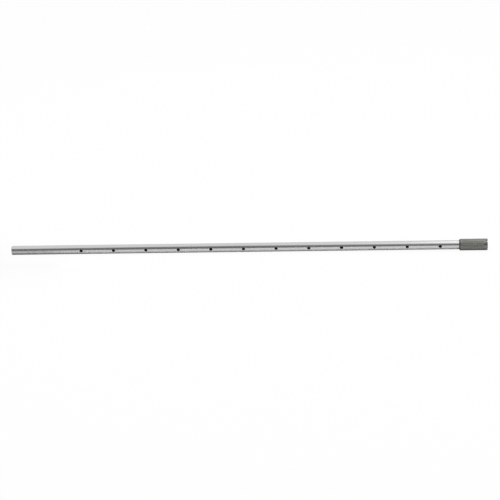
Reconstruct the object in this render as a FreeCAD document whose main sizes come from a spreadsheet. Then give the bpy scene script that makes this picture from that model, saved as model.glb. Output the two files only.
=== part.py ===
import FreeCAD, Part
import os
import Sketcher

# Cannulated intramedullary nail with a driving head, in millimetres.
# The nail lies along X. The origin is the centre of the head's end face, +X points out of the
# head towards the insertion tool, and the locking holes run along Y.

SIZES = (
    ("nail_diameter", "9.0", "outside of the shaft"),
    ("cannulation_diameter", "4.8", "guide wire bore, right through the shaft"),
    ("tip_chamfer", "0.5", "outer edge of the shaft's tip"),
    ("cannulation_chamfer", "0.4", "edge of the bore at the tip"),
    ("hole_diameter", "3.0", "locking hole, through both walls"),
    ("hole_count", "12", "locking holes in the row"),
    ("hole_pitch", "32.5", "from one locking hole to the next"),
    ("tip_to_first_hole", "70.5", "from the tip to the first locking hole"),
    ("last_hole_to_head", "18.7", "from the last locking hole to the head"),
    ("countersink", "0.4", "width of the broken edge at each hole's mouths"),
    ("spigot_diameter", "8.4", "turned end of the shaft that the head sits on"),
    ("spigot_chamfer", "0.4", "lead at the spigot's end"),
    ("seat_clearance", "0.02", "from the spigot to the head's bore, on the radius"),
    ("spigot_end_gap", "0.3", "from the spigot's end to the step in the head's bore"),
    ("head_diameter", "11.5", "outside of the driving head"),
    ("head_length", "28.0", "driving head, end to end"),
    ("shoulder_step", "0.25", "head's inner face above the shaft, where its 45 degree edge ends"),
    ("end_round", "0.5", "head's edge on the side of the insertion tool"),
    ("thread_diameter", "8.0", "nominal size of the driving thread"),
    ("thread_length", "10.6", "driving thread, from its lead to the step before the spigot"),
    ("socket_diameter", "8.8", "pilot socket for the insertion tool"),
    ("socket_depth", "3.0", "pilot socket, from the end face"),
    ("slot_count", "4", "key slots in the end face"),
    ("slot_width", "2.4", "across one key slot"),
    ("slot_depth", "2.0", "key slot, from the end face"),
    ("anteversion", "12.0", "turn of the key slots from the plane of the locking holes, degrees"),
    ("flute_count", "16", "grip flutes round the head"),
    ("flute_radius", "0.7", "round section of one flute"),
    ("flute_depth", "0.3", "how deep a flute goes into the head"),
    ("end_land", "4.0", "plain band between the end face and the flutes"),
    ("shoulder_land", "3.0", "plain band between the flutes and the shaft"),
)

document = FreeCAD.newDocument("IntramedullaryNail")
sheet = document.addObject("Spreadsheet::Sheet", "Sizes")
for row, (alias, number, meaning) in enumerate(SIZES, start=1):
    sheet.set(f"A{row}", meaning)
    sheet.set(f"B{row}", number)
    sheet.setAlias(f"B{row}", alias)
document.recompute()

# Lengths along X that the shaft and the head share, each worked out from the sizes above.
HEAD_SHOULDER = "-Sizes.head_length"
LAST_HOLE = f"{HEAD_SHOULDER} - Sizes.last_hole_to_head"
FIRST_HOLE = f"{LAST_HOLE} - Sizes.hole_pitch * (Sizes.hole_count - 1)"
TIP = f"{FIRST_HOLE} - Sizes.tip_to_first_hole"
THREAD_START = "-Sizes.socket_depth - (Sizes.socket_diameter - Sizes.thread_diameter) / 2"
SEAT_STEP = f"{THREAD_START} - Sizes.thread_length"
SPIGOT_END = f"{SEAT_STEP} - Sizes.spigot_end_gap"


def origin_part(body, role):
    """The plane or axis of the body's own origin that has this role."""
    return next(item for item in body.Origin.OriginFeatures if item.Role == role)


def new_sketch(body, plane, name):
    """An empty sketch that lies on one of the body's origin planes."""
    sketch = body.newObject("Sketcher::SketchObject", name)
    sketch.AttachmentSupport = [(origin_part(body, plane), "")]
    sketch.MapMode = "FlatFace"
    return sketch


def place_point(sketch, geometry, point, axis, expression):
    """Hold one coordinate of a sketch point at a distance from the sketch's origin."""
    value = float(sheet.evalExpression(expression))
    number = sketch.addConstraint(
        Sketcher.Constraint(f"Distance{axis}", -1, 1, geometry, point, value)
    )
    sketch.setExpression(f"Constraints[{number}]", expression)


def closed_outline(sketch, corners):
    """Straight lines from corner to corner, each corner held by its own two expressions."""
    places = [
        FreeCAD.Vector(*(float(sheet.evalExpression(value)) for value in corner))
        for corner in corners
    ]
    for start, end in zip(places, places[1:] + places[:1]):
        sketch.addGeometry(Part.LineSegment(start, end), False)
    for line, (across, up) in enumerate(corners):
        following = (line + 1) % len(corners)
        sketch.addConstraint(Sketcher.Constraint("Coincident", line, 2, following, 1))
        place_point(sketch, line, 1, "X", across)
        place_point(sketch, line, 1, "Y", up)


def turned(body, name, corners):
    """A solid of revolution about X, from an outline of (place along X, radius) corners."""
    sketch = new_sketch(body, "XY_Plane", f"{name}Profile")
    closed_outline(sketch, corners)
    solid = body.newObject("PartDesign::Revolution", name)
    solid.Profile = sketch
    solid.ReferenceAxis = (sketch, ["H_Axis"])
    solid.Angle = 360
    document.recompute()
    return solid


def pocket(body, name, sketch, depth):
    """A cut of this depth from the sketch into the body, towards -X."""
    cut = body.newObject("PartDesign::Pocket", name)
    cut.Profile = sketch
    cut.Type = "Length"
    cut.setExpression("Length", depth)
    document.recompute()
    return cut


def round_the_axis(body, name, feature, count):
    """Copies of a feature, evenly spaced round the nail's axis."""
    ring = body.newObject("PartDesign::PolarPattern", name)
    ring.Originals = [feature]
    ring.Axis = (origin_part(body, "X_Axis"), [""])
    ring.Angle = 360
    ring.setExpression("Occurrences", count)
    body.Tip = ring
    document.recompute()
    return ring


def circular_edge(solid, place, radius):
    """The name of the circle about X at this place and radius on a solid."""
    centre = FreeCAD.Vector(float(sheet.evalExpression(place)), 0, 0)
    size = float(sheet.evalExpression(radius))
    for number, edge in enumerate(solid.Shape.Edges, start=1):
        if not isinstance(edge.Curve, Part.Circle):
            continue
        if edge.Curve.Center.isEqual(centre, 1e-6) and abs(edge.Curve.Radius - size) < 1e-6:
            return f"Edge{number}"
    raise RuntimeError(f"no edge of radius {size} at {centre}")


# The shaft: one drawn steel tube, open from end to end, cut square at the tip. Its other end is
# turned down to a spigot, and the shoulder there stops against the head.
def build_shaft():
    body = document.addObject("PartDesign::Body", "Shaft")
    body.Label = "nail_shaft"
    nail = "Sizes.nail_diameter / 2"
    bore = "Sizes.cannulation_diameter / 2"
    spigot = "Sizes.spigot_diameter / 2"
    turned(
        body,
        "Tube",
        (
            (TIP, f"{bore} + Sizes.cannulation_chamfer"),
            (TIP, f"{nail} - Sizes.tip_chamfer"),
            (f"{TIP} + Sizes.tip_chamfer", nail),
            (HEAD_SHOULDER, nail),
            (HEAD_SHOULDER, spigot),
            (f"{SPIGOT_END} - Sizes.spigot_chamfer", spigot),
            (SPIGOT_END, f"{spigot} - Sizes.spigot_chamfer"),
            (SPIGOT_END, bore),
            (f"{TIP} + Sizes.cannulation_chamfer", bore),
        ),
    )

    # One locking hole crosses the tube along Y. Both of its mouths have a broken edge, a cone
    # that starts inside the wall and runs out past the tube.
    hole = "Sizes.hole_diameter / 2"
    cone_root = f"{nail} - Sizes.countersink"
    cone_top = f"{nail} + Sizes.countersink"
    mouth = f"{hole} + 2 * Sizes.countersink"
    sketch = new_sketch(body, "XY_Plane", "LockingHoleProfile")
    sketch.setExpression("AttachmentOffset.Base.x", FIRST_HOLE)
    closed_outline(
        sketch,
        (
            ("0", f"-({cone_top})"),
            (mouth, f"-({cone_top})"),
            (hole, f"-({cone_root})"),
            (hole, cone_root),
            (mouth, cone_top),
            ("0", cone_top),
        ),
    )
    locking_hole = body.newObject("PartDesign::Groove", "LockingHole")
    locking_hole.Profile = sketch
    locking_hole.ReferenceAxis = (sketch, ["V_Axis"])
    locking_hole.Angle = 360
    document.recompute()

    hole_row = body.newObject("PartDesign::LinearPattern", "LockingHoleRow")
    hole_row.Originals = [locking_hole]
    hole_row.Direction = (origin_part(body, "X_Axis"), [""])
    hole_row.Mode = "Spacing"
    hole_row.setExpression("Offset", "Sizes.hole_pitch")
    hole_row.setExpression("Occurrences", "Sizes.hole_count")
    body.Tip = hole_row
    document.recompute()
    return body


# The driving head: a turned sleeve on the shaft's spigot. The insertion tool's pilot enters the
# socket, its keys enter the slots, and its bolt runs down a 45 degree lead into the thread.
def build_head():
    body = document.addObject("PartDesign::Body", "Head")
    body.Label = "driving_head"
    outside = "Sizes.head_diameter / 2"
    seat = "Sizes.spigot_diameter / 2 + Sizes.seat_clearance"
    thread = "Sizes.thread_diameter / 2"
    socket = "Sizes.socket_diameter / 2"
    shoulder = "Sizes.nail_diameter / 2 + Sizes.shoulder_step"
    sleeve = turned(
        body,
        "Sleeve",
        (
            (HEAD_SHOULDER, seat),
            (HEAD_SHOULDER, shoulder),
            (f"{HEAD_SHOULDER} + {outside} - ({shoulder})", outside),
            ("0", outside),
            ("0", socket),
            ("-Sizes.socket_depth", socket),
            (THREAD_START, thread),
            (SEAT_STEP, thread),
            (SEAT_STEP, seat),
        ),
    )
    rounded = body.newObject("PartDesign::Fillet", "EndRound")
    rounded.Base = (sleeve, [circular_edge(sleeve, "0", outside)])
    rounded.setExpression("Radius", "Sizes.end_round")
    document.recompute()

    # Key slots, milled across the end face from the socket outwards.
    sketch = new_sketch(body, "YZ_Plane", "KeySlotProfile")
    sketch.AttachmentOffset = FreeCAD.Placement(
        FreeCAD.Vector(0, 0, 0), FreeCAD.Rotation(FreeCAD.Vector(0, 0, 1), 1)
    )
    sketch.setExpression(
        "AttachmentOffset.Rotation.Angle", "180 / Sizes.slot_count - Sizes.anteversion"
    )
    half_slot = "Sizes.slot_width / 2"
    beyond = "Sizes.head_diameter"
    closed_outline(
        sketch,
        (
            ("0", f"-({half_slot})"),
            (beyond, f"-({half_slot})"),
            (beyond, half_slot),
            ("0", half_slot),
        ),
    )
    slot = pocket(body, "KeySlot", sketch, "Sizes.slot_depth")
    round_the_axis(body, "KeySlots", slot, "Sizes.slot_count")

    # Grip flutes, cut lengthwise with a round tool between the two plain bands.
    sketch = new_sketch(body, "YZ_Plane", "FluteProfile")
    sketch.setExpression("AttachmentOffset.Base.z", "-Sizes.end_land")
    reach = f"{outside} + Sizes.flute_radius - Sizes.flute_depth"
    centre = FreeCAD.Vector(float(sheet.evalExpression(reach)), 0, 0)
    radius = float(sheet.evalExpression("Sizes.flute_radius"))
    circle = sketch.addGeometry(Part.Circle(centre, FreeCAD.Vector(0, 0, 1), radius), False)
    place_point(sketch, circle, 3, "X", reach)
    sketch.addConstraint(Sketcher.Constraint("PointOnObject", circle, 3, -1))
    size = sketch.addConstraint(Sketcher.Constraint("Radius", circle, radius))
    sketch.setExpression(f"Constraints[{size}]", "Sizes.flute_radius")
    flute = pocket(
        body, "Flute", sketch, "Sizes.head_length - Sizes.end_land - Sizes.shoulder_land"
    )
    round_the_axis(body, "Flutes", flute, "Sizes.flute_count")
    return body


def check(body):
    """Stop if a feature failed, if a cut removed nothing, or if the piece isn't one solid."""
    for item in document.Objects:
        if "Invalid" in item.State or "Error" in item.State:
            raise RuntimeError(f"{item.Name} failed to build: {item.State}")
    for item in body.Group:
        if not item.isDerivedFrom("PartDesign::Feature") or item.BaseFeature is None:
            continue
        if item.Shape.Volume >= item.BaseFeature.Shape.Volume:
            raise RuntimeError(f"{item.Name} removed nothing")
    shape = body.Shape
    if shape.isNull() or not shape.isValid() or len(shape.Solids) != 1:
        raise RuntimeError(f"{body.Label} isn't one valid solid")


pieces = (build_shaft(), build_head())
os.makedirs("parts", exist_ok=True)
for piece in pieces:
    check(piece)
for piece in pieces:
    piece.Shape.exportStep(f"parts/{piece.Label}.step")
    print(piece.Label, round(piece.Shape.Volume, 3), piece.Shape.BoundBox)
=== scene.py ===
import math

import bpy
from mathutils import Matrix, Vector


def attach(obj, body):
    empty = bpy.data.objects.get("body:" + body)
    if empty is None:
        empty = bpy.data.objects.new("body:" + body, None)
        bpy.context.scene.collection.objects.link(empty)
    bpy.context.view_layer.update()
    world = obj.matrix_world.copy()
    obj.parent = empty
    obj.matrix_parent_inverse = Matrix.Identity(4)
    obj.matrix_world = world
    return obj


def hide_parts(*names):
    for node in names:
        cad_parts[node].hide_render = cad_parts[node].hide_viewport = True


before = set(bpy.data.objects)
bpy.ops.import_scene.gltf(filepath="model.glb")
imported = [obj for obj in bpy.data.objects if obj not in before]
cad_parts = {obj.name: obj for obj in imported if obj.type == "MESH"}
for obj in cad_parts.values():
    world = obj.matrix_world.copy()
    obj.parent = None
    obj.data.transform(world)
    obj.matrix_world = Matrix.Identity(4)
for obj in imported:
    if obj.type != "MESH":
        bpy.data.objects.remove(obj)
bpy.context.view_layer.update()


# Nail shaft. One drawn stainless steel tube, cut square at the tip and turned down to a spigot
# where the driving head sits. Twelve locking holes are made across both of its walls by drilling,
# and their mouths rounded over. The outside is polished lengthwise. The bore and the hole walls
# are coloured near black and matt, a painted shade, so that they stay dark.
shaft_radius = 0.0045
bore_radius = 0.0024
spigot_radius = 0.0042
tip = -0.4747
shoulder = -0.0280
spigot_end = -0.0143
tip_chamfer = 0.0005
bore_chamfer = 0.0004
spigot_chamfer = 0.0004
corner_rounding = 0.00008
corner_steps = (0.25, 0.5, 0.75)

hole_radius = 0.0015
hole_count = 12
hole_pitch = 0.0325
first_hole = tip + 0.0705
mouth_depth = 0.0004
mouth_spread = 1.25
mouth_steps = 6

columns = 96
half_turn = columns // 2
hole_columns = 13
hole_stations = 6
outer_patch = 0.0035
bore_patch = 0.0019
patch_steps = (0.0, 0.12, 0.35, 0.65, 1.0)
place_digits = 8


class Skin:
    """A piece's surface, made of strips between rows of places that each know where they face."""

    def __init__(self):
        self.places = {}
        self.faces = []
        self.facings = []

    def number(self, place):
        """The place's number, the same for places that fall together."""
        key = tuple(round(part, place_digits) for part in place)
        return self.places.setdefault(key, len(self.places))

    def face(self, corners):
        """One face, turned the way that its corners face."""
        kept = []
        for place, facing in corners:
            number = self.number(place)
            if number not in [other[0] for other in kept]:
                kept.append((number, place, facing))
        if len(kept) < 3:
            return
        area = Vector((0, 0, 0))
        for index, corner in enumerate(kept):
            area += kept[index - 1][1].cross(corner[1])
        if area.dot(sum((corner[2] for corner in kept), Vector((0, 0, 0)))) < 0:
            kept.reverse()
        self.faces.append([corner[0] for corner in kept])
        self.facings.extend(corner[2].normalized() for corner in kept)

    def strip(self, row, next_row, closed=True):
        """The faces between two rows of as many places."""
        for index in range(0 if closed else 1, len(row)):
            self.face((row[index - 1], row[index], next_row[index], next_row[index - 1]))

    def piece(self, name, material):
        """The finished piece, shaded by the ways that its places face."""
        mesh = bpy.data.meshes.new(name)
        mesh.from_pydata(list(self.places), [], self.faces)
        mesh.polygons.foreach_set("use_smooth", [True] * len(mesh.polygons))
        mesh.normals_split_custom_set(self.facings)
        mesh.materials.append(material)
        piece = bpy.data.objects.new(name, mesh)
        bpy.context.scene.collection.objects.link(piece)
        return piece


def on_tube(x, radius, column, outward):
    """A place on a round wall, and the way it faces there."""
    turn = column * 2 * math.pi / columns
    way = Vector((0, math.cos(turn), math.sin(turn)))
    return Vector((x, 0, 0)) + way * radius, way * outward


def ring(x, radius, along, outward):
    """One row all the way round, facing along the axis and outward in these shares."""
    row = []
    for column in range(columns):
        place, way = on_tube(x, radius, column, outward)
        row.append((place, way + Vector((along, 0, 0))))
    return row


def turned(skin, corners, rounding):
    """A turned outline of (x, radius) corners, run with the steel on its left, corners rounded."""
    outline = []
    spans = list(zip(corners, corners[1:]))
    for index, (start, end) in enumerate(spans):
        run = Vector((end[0] - start[0], end[1] - start[1]))
        way = run.normalized()
        first = Vector(start) + (way * rounding if index else Vector((0, 0)))
        last = Vector(end) - (way * rounding if index < len(spans) - 1 else Vector((0, 0)))
        facing = Vector((way.y, -way.x))
        if outline:
            before, before_facing = outline[-1]
            corner = Vector(start)
            for step in corner_steps:
                stay = 1 - step
                place = before * stay**2 + corner * (2 * step * stay) + first * step**2
                outline.append((place, (before_facing * stay + facing * step).normalized()))
        outline.append((first, facing))
        outline.append((last, facing))
    rows = [ring(place.x, place.y, facing.x, facing.y) for place, facing in outline]
    for row, next_row in zip(rows, rows[1:]):
        skin.strip(row, next_row)


def patch_edge(half_length):
    """The edge of the patch round a hole, as (distance along the tube, column), anticlockwise."""
    edge = []
    for column in range(-hole_columns, hole_columns):
        edge.append((half_length, column))
    for station in range(hole_stations):
        edge.append((half_length * (1 - 2 * station / hole_stations), hole_columns))
    for column in range(hole_columns, -hole_columns, -1):
        edge.append((-half_length, column))
    for station in range(hole_stations):
        edge.append((half_length * (2 * station / hole_stations - 1), -hole_columns))
    return edge


arc_per_column = shaft_radius * 2 * math.pi / columns
hole_turns = [math.atan2(column * arc_per_column, x) for x, column in patch_edge(outer_patch)]


def wall_place(hole, side, radius, x, column, outward):
    """A place near a hole: side is 1 for the far wall and -1 for the near one."""
    return on_tube(hole + x, radius, column if side > 0 else half_turn - column, outward)


def hole_patch(skin, hole, side, radius, outward, half_length, mouths):
    """The wall round one hole, from its mouth out to the edge of the patch."""
    edge = patch_edge(half_length)
    rows = []
    for step in patch_steps:
        row = []
        for turn, mouth, (x, column) in zip(hole_turns, mouths, edge):
            mouth_x = mouth * math.cos(turn)
            mouth_column = math.asin(mouth * math.sin(turn) / radius) * columns / (2 * math.pi)
            at_x = mouth_x * (1 - step) + x * step
            at_column = mouth_column * (1 - step) + column * step
            row.append(wall_place(hole, side, radius, at_x, at_column, outward))
        rows.append(row)
    for row, next_row in zip(rows, rows[1:]):
        skin.strip(row, next_row)
    return rows[0]


def wall(skin, radius, outward, half_length, mouths):
    """The tube's outside or its bore, from the first hole's patch to the last, with the holes."""
    mouth_rows = {}
    for number in range(hole_count):
        hole = first_hole + number * hole_pitch
        for side in (-1, 1):
            mouth_rows[number, side] = hole_patch(
                skin, hole, side, radius, outward, half_length, mouths
            )
        for first in (hole_columns, half_turn + hole_columns):
            last = first + half_turn - 2 * hole_columns
            stations = []
            for station in range(hole_stations + 1):
                x = hole + half_length * (2 * station / hole_stations - 1)
                stations.append(
                    [on_tube(x, radius, column, outward) for column in range(first, last + 1)]
                )
            for row, next_row in zip(stations, stations[1:]):
                skin.strip(row, next_row, closed=False)
        if number:
            skin.strip(
                ring(hole - hole_pitch + half_length, radius, 0, outward),
                ring(hole - half_length, radius, 0, outward),
            )
    return mouth_rows


# A mouth's edge on the outside follows the cone of the broken edge, and spreads a little further.
mouth_floor = shaft_radius - mouth_depth
lead = mouth_floor - hole_radius
outer_mouths = []
for turn in hole_turns:
    squeeze = 1 + math.sin(turn) ** 2
    reach = math.sqrt(lead**2 + squeeze * (shaft_radius**2 - lead**2)) - lead
    outer_mouths.append(hole_radius + mouth_spread * (reach / squeeze - hole_radius))

shaft_skin = Skin()
mouth_root = mouth_floor - (mouth_spread - 1) * mouth_depth
outer_rows = wall(shaft_skin, shaft_radius, 1, outer_patch, outer_mouths)
bore_rows = wall(shaft_skin, bore_radius, -1, bore_patch, [hole_radius] * len(hole_turns))

for (number, side), outer_row in outer_rows.items():
    hole = first_hole + number * hole_pitch
    rows = [outer_row]
    for step in range(1, mouth_steps + 1):
        share = step / mouth_steps
        row = []
        for turn, (foot, foot_facing) in zip(hole_turns, outer_row):
            x, z = hole_radius * math.cos(turn), hole_radius * math.sin(turn)
            depth = math.sqrt(shaft_radius**2 - z**2)
            corner = Vector((hole + x, side * depth, z))
            root = Vector((hole + x, side * mouth_root, z))
            place = foot * (1 - share) ** 2 + corner * (2 * share * (1 - share)) + root * share**2
            inward = Vector((-math.cos(turn), 0, -math.sin(turn)))
            row.append((place, foot_facing * (1 - share) + inward * share))
        rows.append(row)
    inner_row = []
    for turn, (place, facing) in zip(hole_turns, bore_rows[number, side]):
        inner_row.append((place, Vector((-math.cos(turn), 0, -math.sin(turn)))))
    rows.append(inner_row)
    for row, next_row in zip(rows, rows[1:]):
        shaft_skin.strip(row, next_row)

last_hole = first_hole + (hole_count - 1) * hole_pitch
turned(
    shaft_skin,
    (
        (first_hole - outer_patch, shaft_radius),
        (tip + tip_chamfer, shaft_radius),
        (tip, shaft_radius - tip_chamfer),
        (tip, bore_radius + bore_chamfer),
        (tip + bore_chamfer, bore_radius),
        (first_hole - bore_patch, bore_radius),
    ),
    corner_rounding,
)
turned(
    shaft_skin,
    (
        (last_hole + bore_patch, bore_radius),
        (spigot_end, bore_radius),
        (spigot_end, spigot_radius - spigot_chamfer),
        (spigot_end - spigot_chamfer, spigot_radius),
        (shoulder, spigot_radius),
        (shoulder, shaft_radius),
        (last_hole + outer_patch, shaft_radius),
    ),
    corner_rounding,
)


class Tone:
    """An output of a material's node. Sums with it add Math nodes to that material."""

    def __init__(self, tree, socket=None):
        self.tree = tree
        self.socket = socket

    def node(self, kind, settings, values, output=0):
        """A new node: its settings come first, then its sockets' values or links."""
        node = self.tree.nodes.new(kind)
        for name, setting in settings.items():
            setattr(node, name, setting)
        for name, value in values.items():
            if isinstance(value, Tone):
                self.tree.links.new(value.socket, node.inputs[name])
            else:
                node.inputs[name].default_value = value
        return Tone(self.tree, None if output is None else node.outputs[output])

    def sum(self, operation, first, second):
        return self.node("ShaderNodeMath", {"operation": operation}, {0: first, 1: second})

    def __add__(self, other):
        return self.sum("ADD", self, other)

    def __radd__(self, other):
        return self.sum("ADD", other, self)

    def __sub__(self, other):
        return self.sum("SUBTRACT", self, other)

    def __rsub__(self, other):
        return self.sum("SUBTRACT", other, self)

    def __mul__(self, other):
        return self.sum("MULTIPLY", self, other)

    def __rmul__(self, other):
        return self.sum("MULTIPLY", other, self)

    def object_place(self):
        """Where each point of the surface lies on its piece, in metres."""
        return self.node("ShaderNodeTexCoord", {}, {}, "Object")

    def part(self, axis):
        """This place's distance along one axis."""
        return self.node("ShaderNodeSeparateXYZ", {}, {0: self}, axis)

    def scaled(self, scales):
        """This place times three numbers. Noise runs finer where they are larger."""
        return self.node("ShaderNodeVectorMath", {"operation": "MULTIPLY"}, {0: self, 1: scales})

    def length(self):
        return self.node("ShaderNodeVectorMath", {"operation": "LENGTH"}, {0: self}, "Value")

    def likeness(self, other):
        """1 where two facings are the same, and less the more they differ."""
        return self.node(
            "ShaderNodeVectorMath", {"operation": "DOT_PRODUCT"}, {0: self, 1: other}, "Value"
        )

    def grain(self, detail):
        """Noise from 0 to 1 at this place."""
        return self.node("ShaderNodeTexNoise", {}, {"Vector": self, "Scale": 1.0, "Detail": detail})

    def between(self, low, high):
        """0 where this value is at low, 1 where it is at high, smooth between them."""
        return self.node(
            "ShaderNodeMapRange",
            {"interpolation_type": "SMOOTHSTEP"},
            {"Value": self, "From Min": low, "From Max": high},
        )

    def mixed(self, first, second):
        """The first colour where this value is 0, the second where it is 1.

        The Mix node takes colours in its sockets 6 and 7 and gives one in its output 2.
        """
        return self.node("ShaderNodeMix", {"data_type": "RGBA"}, {0: self, 6: first, 7: second}, 2)

    def shown(self, kind="ShaderNodeOutputMaterial"):
        """This shader is what the material or the world shows."""
        self.node(kind, {}, {"Surface": self}, None)


def new_material(name):
    """An empty material, and a first tone to build its nodes with."""
    material = bpy.data.materials.new(name)
    material.use_nodes = True
    material.node_tree.nodes.clear()
    return material, Tone(material.node_tree)


drawing_scales = (25, 2600, 2600)
polish_scales = (90, 9000, 9000)
handling_scales = (60, 160, 160)
scuff_scales = (900, 260, 260)
scuff_low = 0.62
scuff_high = 0.72
steel_shade = (0.56, 0.56, 0.56, 1)
steel_light = (0.65, 0.65, 0.65, 1)
steel_roughness = 0.10
drawing_roughness = 0.09
handling_roughness = 0.08
scuff_roughness = 0.05
steel_relief = 0.7
steel_relief_depth = 0.00001
drawing_height = 0.6
polish_height = 0.5
scuff_height = 0.2

# Painted shade: the bore and the hole walls are coloured near black, so that they stay dark.
painted_shade_black = (0.03, 0.03, 0.028, 1)
painted_shade_roughness = 0.8
painted_shade_gloss = 0.1
painted_shade_cover = 0.94
wall_dark = 0.00405
wall_bright = 0.00425
tip_bright = 0.0003
tip_dark = 0.0012
spigot_bright = 0.0003
spigot_dark = 0.0009
mouth_dark = 0.00154
mouth_bright = 0.00168
row_bright = 0.004
row_dark = 0.003

polished_steel, tone = new_material("polished_steel")
place = tone.object_place()
along = place.part("X")
height = place.part("Z")
off_axis = place.scaled((0, 1, 1)).length()
from_tip = along.between(tip + tip_bright, tip + tip_dark)
from_spigot = 1 - along.between(spigot_end - spigot_dark, spigot_end - spigot_bright)
in_bore = (1 - off_axis.between(wall_dark, wall_bright)) * (from_tip * from_spigot)
from_first = along - first_hole
from_hole = from_first.sum("PINGPONG", from_first, hole_pitch / 2)
off_hole = from_hole * from_hole + height * height
in_row = along.between(first_hole - row_bright, first_hole - row_dark)
in_hole = (1 - off_hole.between(mouth_dark**2, mouth_bright**2)) * in_row
painted_shade_mask = 1 - (1 - in_bore) * (1 - in_hole)

drawing_lines = place.scaled(drawing_scales).grain(detail=3.0)
polish_lines = place.scaled(polish_scales).grain(detail=2.0)
handling = place.scaled(handling_scales).grain(detail=2.0)
scuffs = place.scaled(scuff_scales).grain(detail=4.0).between(scuff_low, scuff_high)
worked_roughness = drawing_lines * drawing_roughness + handling * handling_roughness
relief = tone.node(
    "ShaderNodeBump",
    {},
    {
        "Strength": steel_relief,
        "Distance": steel_relief_depth,
        "Height": drawing_lines * drawing_height
        + polish_lines * polish_height
        + scuffs * scuff_height,
    },
)
steel = tone.node(
    "ShaderNodeBsdfPrincipled",
    {},
    {
        "Base Color": drawing_lines.mixed(steel_shade, steel_light),
        "Metallic": 1.0,
        "Roughness": steel_roughness + worked_roughness + scuffs * scuff_roughness,
        "Normal": relief,
    },
)
# The painted shade of the bore and the holes: a near black, matt colour.
painted_shade_walls = tone.node(
    "ShaderNodeBsdfPrincipled",
    {},
    {
        "Base Color": painted_shade_black,
        "Roughness": painted_shade_roughness,
        "Specular IOR Level": painted_shade_gloss,
    },
)
surface = tone.node("ShaderNodeMixShader", {}, {0: painted_shade_mask * painted_shade_cover, 1: steel, 2: painted_shade_walls})
surface.shown()

shaft = shaft_skin.piece("polished_shaft", polished_steel)
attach(shaft, "root")
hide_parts("nail_shaft")


# Driving head. A steel sleeve, turned, fluted and slotted, then blasted and darkened, and fixed
# on the shaft's spigot for good. Its inner end, next to the shoulder, is darker and duller. The
# solid's own shape is right, so it only gets its finish.
blast_scales = (9000, 9000, 9000)
pit_scales = (4200, 4200, 4200)
mottle_scales = (330, 330, 330)
lengthwise_scales = (70, 1400, 1400)
blasted_shade = (0.161, 0.162, 0.147, 1)
blasted_light = (0.263, 0.264, 0.246, 1)
mottle_share = 0.6
pit_share = 0.4
blasted_metal = 0.9
blasted_roughness = 0.24
mottle_roughness = 0.10
blasted_relief = 0.8
blasted_relief_depth = 0.00003
blast_height = 0.7
pit_height = 0.6
lengthwise_height = 0.5

edge_radius = 0.00024
edge_samples = 6
edge_start = 0.004
edge_full = 0.12
wear_low = 0.111
wear_high = 0.556
worn_steel = (0.46, 0.46, 0.44, 1)
wear_cover = 0.85
wear_polish = 0.06

# Darker towards the shoulder: the colour turns near black over the head's first two millimetres.
inner_end_black = (0.075, 0.075, 0.072, 1)
inner_end_cover = 0.75
inner_end_near = 0.0003
inner_end_far = 0.0022
dull_near = 0.008
dull_far = 0.013
dull_roughness = 0.14

dark_steel, tone = new_material("dark_steel")
place = tone.object_place()
from_shoulder = place.part("X") - shoulder
blast = place.scaled(blast_scales).grain(detail=2.0)
pits = place.scaled(pit_scales).grain(detail=3.0)
mottle = place.scaled(mottle_scales).grain(detail=3.0)
lengthwise = place.scaled(lengthwise_scales).grain(detail=2.0)
soft_edge = tone.node(
    "ShaderNodeBevel", {"samples": edge_samples}, {"Radius": edge_radius}, "Normal"
)
plain_edge = tone.node("ShaderNodeNewGeometry", {}, {}, "Normal")
edge = (1 - soft_edge.likeness(plain_edge)).between(edge_start, edge_full)
worn = edge * pits.between(wear_low, wear_high)
darker_inner_end = 1 - from_shoulder.between(inner_end_near, inner_end_far)
dulled = 1 - from_shoulder.between(dull_near, dull_far)
colour = (mottle * mottle_share + pits * pit_share).mixed(blasted_shade, blasted_light)
colour = (darker_inner_end * inner_end_cover).mixed(colour, inner_end_black)
colour = (worn * wear_cover).mixed(colour, worn_steel)
dullness = mottle * mottle_roughness + dulled * dull_roughness - worn * wear_polish
relief = tone.node(
    "ShaderNodeBump",
    {},
    {
        "Strength": blasted_relief,
        "Distance": blasted_relief_depth,
        "Height": blast * blast_height + pits * pit_height + lengthwise * lengthwise_height,
        "Normal": soft_edge,
    },
)
steel = tone.node(
    "ShaderNodeBsdfPrincipled",
    {},
    {
        "Base Color": colour,
        "Metallic": blasted_metal,
        "Roughness": blasted_roughness + dullness,
        "Normal": relief,
    },
)
steel.shown()
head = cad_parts["driving_head"]
for material_slot in head.material_slots:
    material_slot.material = dark_steel


# Driving thread. Cut into the head's bore, right-handed, 8 mm across with a 1 mm pitch. It starts
# in the lead below the socket and takes an insertion tool's bolt or an end cap.
thread_root = 0.0040
thread_crest = 0.00346
thread_pitch = 0.001
thread_start = -0.0035
thread_end = -0.0138
thread_sink = 0.00003
thread_steps = 64
root_width = 0.00044
crest_width = 0.00012
run_out = 0.6
least_rise = 0.02
flank = Vector((0.5, 0, 0))


def root_edges(row):
    """The two edges of the ridge that lie in the bore's wall, facing into it."""
    return [(place, Vector((0, place.y, place.z))) for place, facing in (row[0], row[-1])]


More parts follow.
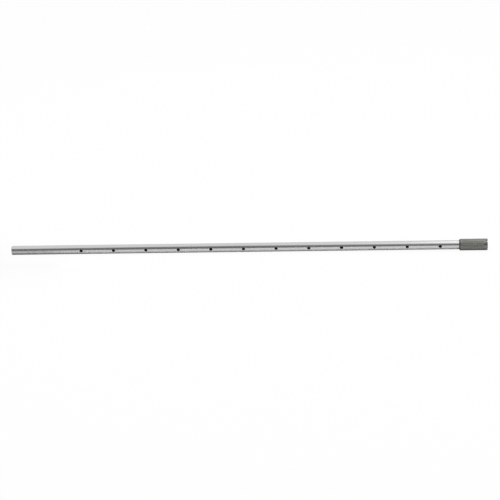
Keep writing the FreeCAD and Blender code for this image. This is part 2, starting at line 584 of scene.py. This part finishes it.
turns = (thread_start - thread_end - 2 * root_width) / thread_pitch
thread_skin = Skin()
thread_rows = []
for step in range(int(turns * thread_steps) + 1):
    turned_by = step / thread_steps
    angle = turned_by * 2 * math.pi
    out = Vector((0, math.cos(angle), -math.sin(angle)))
    x = thread_start - root_width - turned_by * thread_pitch
    rise = min(1, turned_by / run_out, (turns - turned_by) / run_out)
    crest = thread_root - (thread_root - thread_crest) * max(rise, least_rise)
    root = thread_root + thread_sink
    row = []
    for width, radius, lean in (
        (root_width, root, flank),
        (crest_width, crest, flank),
        (-crest_width, crest, -flank),
        (-root_width, root, -flank),
    ):
        row.append((Vector((x + width, 0, 0)) + out * radius, lean - out))
    thread_rows.append(row)
for row, next_row in zip(thread_rows, thread_rows[1:]):
    thread_skin.strip(row, next_row, closed=False)
    thread_skin.strip(root_edges(row), root_edges(next_row), closed=False)
for row, next_row in ((thread_rows[0], thread_rows[1]), (thread_rows[-1], thread_rows[-2])):
    outward = row[0][0] - next_row[0][0]
    thread_skin.face([(place, outward) for place, facing in row])
thread = thread_skin.piece("driving_thread", dark_steel)
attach(thread, "root")


# Weld seam. A fine bead run round the joint of head and shaft, which closes it and holds the head
# for good. Its ripples are the overlapping spots of the weld, blued by the heat.
seam_width = 0.00022
seam_sink = 0.00005
seam_spots = 72
seam_ripple = 0.06
seam_hollow = 0.38
seam_columns = 4 * seam_spots
seam_steps = 5
spot_scales = (1500, 1500, 1500)
seam_blue = (0.16, 0.15, 0.16, 1)
seam_straw = (0.34, 0.30, 0.25, 1)
seam_roughness = 0.28
spot_roughness = 0.15


def seam_row(lean, width, sink, along, outward):
    """One row of the bead, at this lean from the head's face down to the shaft."""
    row = []
    for column in range(seam_columns):
        turn = column * 2 * math.pi / seam_columns
        way = Vector((0, math.cos(turn), math.sin(turn)))
        swell = 1 + seam_ripple * math.cos(turn * seam_spots)
        bulge = width * swell * (1 - seam_hollow * (1 - abs(math.cos(2 * lean))))
        x = shoulder + sink - bulge * math.sin(lean)
        place = Vector((x, 0, 0)) + way * (shaft_radius - sink + bulge * math.cos(lean))
        row.append((place, Vector((along, 0, 0)) + way * outward))
    return row


seam_skin = Skin()
leans = [step / seam_steps * math.pi / 2 for step in range(seam_steps + 1)]
seam_rows = [seam_row(lean, seam_width, 0, -math.sin(lean), math.cos(lean)) for lean in leans]
for row, next_row in zip(seam_rows, seam_rows[1:]):
    seam_skin.strip(row, next_row)
seam_skin.strip(
    seam_row(0, width=0, sink=seam_sink, along=1, outward=0),
    seam_row(0, width=seam_width, sink=0, along=1, outward=0),
)
seam_skin.strip(
    seam_row(0, width=0, sink=seam_sink, along=0, outward=-1),
    seam_row(leans[-1], width=seam_width, sink=0, along=0, outward=-1),
)

blued_weld, tone = new_material("blued_weld")
spots = tone.object_place().scaled(spot_scales).grain(detail=2.0)
steel = tone.node(
    "ShaderNodeBsdfPrincipled",
    {},
    {
        "Base Color": spots.mixed(seam_blue, seam_straw),
        "Metallic": 1.0,
        "Roughness": seam_roughness + spots * spot_roughness,
    },
)
steel.shown()
seam = seam_skin.piece("seam_weld", blued_weld)
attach(seam, "root")


# Table. A plain white laminate top, tilted by a sixth of a degree so that the nail rests on its
# head and on its tip, as it does in life. It looks white and keeps a little of the nail's shadow.
table_size = 14.0
table_white = (0.92, 0.92, 0.92, 1)
white_to_camera = 0.95
white_in_metal = 0.05
white_through = 0.93
head_radius = 0.00575
table_slope = (head_radius - shaft_radius) / (shoulder - tip)


def light_path(tone, kind):
    """1 for rays of this kind, and 0 for all others."""
    return tone.node("ShaderNodeLightPath", {}, {}, kind)


def studio_piece(name, places, faces, material):
    """A piece of the studio that the nail is seen in."""
    mesh = bpy.data.meshes.new(name)
    mesh.from_pydata(places, [], faces)
    mesh.materials.append(material)
    piece = bpy.data.objects.new(name, mesh)
    bpy.context.scene.collection.objects.link(piece)
    return piece


half = table_size / 2
table_corners = []
for x, y in ((-half, -half), (half, -half), (half, half), (-half, half)):
    table_corners.append((x, y, -head_radius + (shoulder - x) * table_slope))
white_laminate, tone = new_material("white_laminate")
seen = light_path(tone, "Is Camera Ray")
mirrored = light_path(tone, "Is Glossy Ray")
through = light_path(tone, "Is Transmission Ray")
whiteness = seen * white_to_camera + mirrored * white_in_metal + through * white_through
laminate = tone.node("ShaderNodeBsdfDiffuse", {}, {"Color": table_white})
glow = tone.node("ShaderNodeEmission", {}, {"Color": (1, 1, 1, 1), "Strength": 1.0})
top = tone.node("ShaderNodeMixShader", {}, {0: whiteness, 1: laminate, 2: glow})
top.shown()
table = studio_piece("table", table_corners, [(0, 1, 2, 3)], white_laminate)


# Light. A white room, a wide soft lamp overhead and a smaller one beyond the head. A ring of grey
# card round the table is what polished steel shows as the dark line along it.
room_light = 0.35
nail_middle = -0.237


def square_lamp(name, size, radiance, place):
    """A square lamp that shines straight down."""
    light = bpy.data.lights.new(name, "AREA")
    light.size = size
    light.energy = radiance * math.pi * size**2
    lamp = bpy.data.objects.new(name, light)
    lamp.location = place
    bpy.context.scene.collection.objects.link(lamp)
    return lamp


world = bpy.data.worlds.new("white_room")
world.use_nodes = True
bpy.context.scene.world = world
world.node_tree.nodes.clear()
tone = Tone(world.node_tree)
seen = light_path(tone, "Is Camera Ray")
mirrored = light_path(tone, "Is Glossy Ray")
through = light_path(tone, "Is Transmission Ray")
brightness = room_light + (seen + mirrored + through) * (1 - room_light)
room = tone.node("ShaderNodeBackground", {}, {"Color": (1, 1, 1, 1), "Strength": brightness})
room.shown("ShaderNodeOutputWorld")

soft_lamp = square_lamp("soft_lamp", size=2.0, radiance=1.4, place=(nail_middle, 0.2, 1.3))
soft_lamp.visible_glossy = False
square_lamp("side_lamp", size=1.0, radiance=0.8, place=(0.47, 0.1, 1.2))

card_distance = 1.1
card_front_top = 71
card_back_top = 12
card_darkest = math.radians(-98)
card_narrowing = 4
card_fade = 0.4
card_grey = (0.235, 0.235, 0.235, 1)
card_columns = 64
card_levels = (0.0, 1 - card_fade, 1.0)
card_corners = []
card_shares = []
for column in range(card_columns):
    turn = column * 2 * math.pi / card_columns
    front = max(0, math.cos(turn - card_darkest)) ** card_narrowing
    top = card_back_top + (card_front_top - card_back_top) * front
    x = nail_middle + card_distance * math.cos(turn)
    y = card_distance * math.sin(turn)
    for share in card_levels:
        card_corners.append((x, y, card_distance * math.tan(math.radians(top * share))))
        card_shares.append(share)
card_faces = []
for column in range(card_columns):
    first = len(card_levels) * column
    second = len(card_levels) * ((column + 1) % card_columns)
    for step in range(len(card_levels) - 1):
        card_faces.append((first + step, second + step, second + step + 1, first + step + 1))
# The card glows with its own grey, fading to white at its top, instead of being lit: painted light
# that only the steel's reflections show.
grey_card, tone = new_material("grey_card")
share = tone.node("ShaderNodeAttribute", {"attribute_name": "share"}, {}, "Fac")
colour = share.between(1 - card_fade, 1).mixed(card_grey, (1, 1, 1, 1))
glow = tone.node("ShaderNodeEmission", {}, {"Color": colour, "Strength": 1.0})
glow.shown()
card = studio_piece("grey_card", card_corners, card_faces, grey_card)
card.data.attributes.new("share", "FLOAT", "POINT").data.foreach_set("value", card_shares)
card.visible_camera = False
card.visible_diffuse = False
card.visible_shadow = False


# Flag. A black card that stands in front of the tip and keeps the light off the table there, so
# that the tip's underside shows a darker edge.
flag_front = -0.030
flag_start = -0.60
flag_end = -0.425
flag_foot = -0.02
flag_top = 0.07
flag_black = (0.01, 0.01, 0.01, 1)
flag_corners = [
    (flag_start, flag_front, flag_foot),
    (flag_end, flag_front, flag_foot),
    (flag_end, flag_front, flag_top),
    (flag_start, flag_front, flag_top),
]
black_card, tone = new_material("black_card")
black = tone.node("ShaderNodeBsdfDiffuse", {}, {"Color": flag_black})
black.shown()
flag = studio_piece("black_flag", flag_corners, [(0, 1, 2, 3)], black_card)
flag.visible_camera = False
flag.visible_glossy = False


# Camera. A long lens from two metres away and a little above, turned so that the nail's driving
# end is slightly nearer than its tip and a little higher in the picture.
camera_elevation = math.radians(19.5)
camera_yaw = math.radians(4.0)
camera_roll = math.radians(-2.069)
camera_distance = 2.1041
camera_lens = 152.06
sensor_width = 36
nearest_seen = 0.05
farthest_seen = 50
aim = Vector((-0.23546, 0, -0.00283))
back = Vector(
    (
        math.sin(camera_yaw) * math.cos(camera_elevation),
        -math.cos(camera_yaw) * math.cos(camera_elevation),
        math.sin(camera_elevation),
    )
)
level = Vector((0, 0, 1)).cross(back).normalized()
upright = back.cross(level)
right = level * math.cos(camera_roll) + upright * math.sin(camera_roll)
up = upright * math.cos(camera_roll) - level * math.sin(camera_roll)
camera_data = bpy.data.cameras.new("camera")
camera_data.lens = camera_lens
camera_data.sensor_width = sensor_width
camera_data.clip_start = nearest_seen
camera_data.clip_end = farthest_seen
camera = bpy.data.objects.new("camera", camera_data)
bpy.context.scene.collection.objects.link(camera)
facing = Matrix((right, up, back)).transposed().to_4x4()
camera.matrix_world = Matrix.Translation(aim + back * camera_distance) @ facing
bpy.context.scene.camera = camera
bpy.context.scene.view_settings.view_transform = "Standard"
